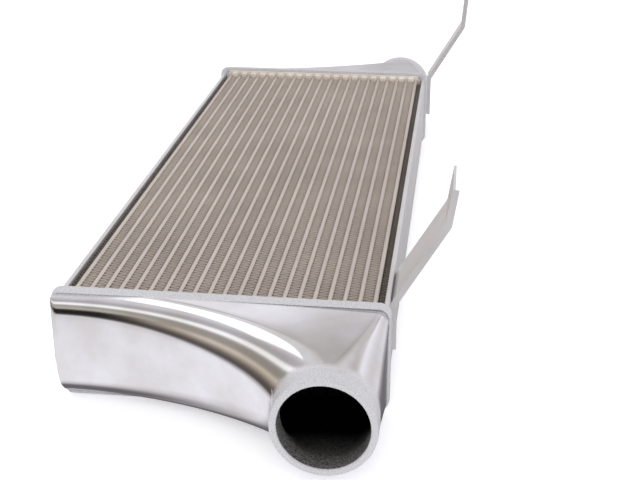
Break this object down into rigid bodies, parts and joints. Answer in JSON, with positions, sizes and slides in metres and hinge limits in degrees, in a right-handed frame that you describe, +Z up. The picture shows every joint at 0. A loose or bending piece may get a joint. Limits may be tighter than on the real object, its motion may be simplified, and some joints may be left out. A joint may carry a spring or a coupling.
{
  "type": "intercooler",
  "caption": "Tube-and-fin charge-air cooler with a swept cast tank and a round hose stub at each end, and two bent mounting straps on one side.",
  "frame": {"origin": "under the middle of the cooler's outline, on the surface that it lies on", "axes": "+Y along the tubes from the near tank to the far tank, +X towards the side that has the hose stubs and straps, +Z up, through the thickness of the core"},
  "size_m": [0.2784, 0.783, 0.1815],
  "materials": {
    "cast_aluminium": "hand polished casting, satin on the turned collar of the stub",
    "header_aluminium": "brazed mill finish",
    "tube_aluminium": "brazed mill finish",
    "fin_aluminium": "thin folded sheet, mill finish",
    "plate_aluminium": "brushed sheet",
    "strap_aluminium": "bent sheet, brushed"
  },
  "bodies": {
    "root": {"fin_row_01": "fin_aluminium", "fin_row_02": "fin_aluminium", "fin_row_03": "fin_aluminium", "fin_row_04": "fin_aluminium", "fin_row_05": "fin_aluminium", "fin_row_06": "fin_aluminium", "fin_row_07": "fin_aluminium", "fin_row_08": "fin_aluminium", "fin_row_09": "fin_aluminium", "fin_row_10": "fin_aluminium", "fin_row_11": "fin_aluminium", "fin_row_12": "fin_aluminium", "fin_row_13": "fin_aluminium", "fin_row_14": "fin_aluminium", "fin_row_15": "fin_aluminium", "fin_row_16": "fin_aluminium", "fin_row_17": "fin_aluminium", "fin_row_18": "fin_aluminium", "fin_row_19": "fin_aluminium", "fin_row_20": "fin_aluminium", "fin_row_21": "fin_aluminium", "fin_row_22": "fin_aluminium", "header_far": "header_aluminium", "header_near": "header_aluminium", "side_plate_left": "plate_aluminium", "side_plate_right": "plate_aluminium", "strap_far": "strap_aluminium", "strap_near": "strap_aluminium", "tank_far": "cast_aluminium", "tank_near": "cast_aluminium", "tube_01": "tube_aluminium", "tube_02": "tube_aluminium", "tube_03": "tube_aluminium", "tube_04": "tube_aluminium", "tube_05": "tube_aluminium", "tube_06": "tube_aluminium", "tube_07": "tube_aluminium", "tube_08": "tube_aluminium", "tube_09": "tube_aluminium", "tube_10": "tube_aluminium", "tube_11": "tube_aluminium", "tube_12": "tube_aluminium", "tube_13": "tube_aluminium", "tube_14": "tube_aluminium", "tube_15": "tube_aluminium", "tube_16": "tube_aluminium", "tube_17": "tube_aluminium", "tube_18": "tube_aluminium", "tube_19": "tube_aluminium", "tube_20": "tube_aluminium", "tube_21": "tube_aluminium"}
  },
  "joints": []
}
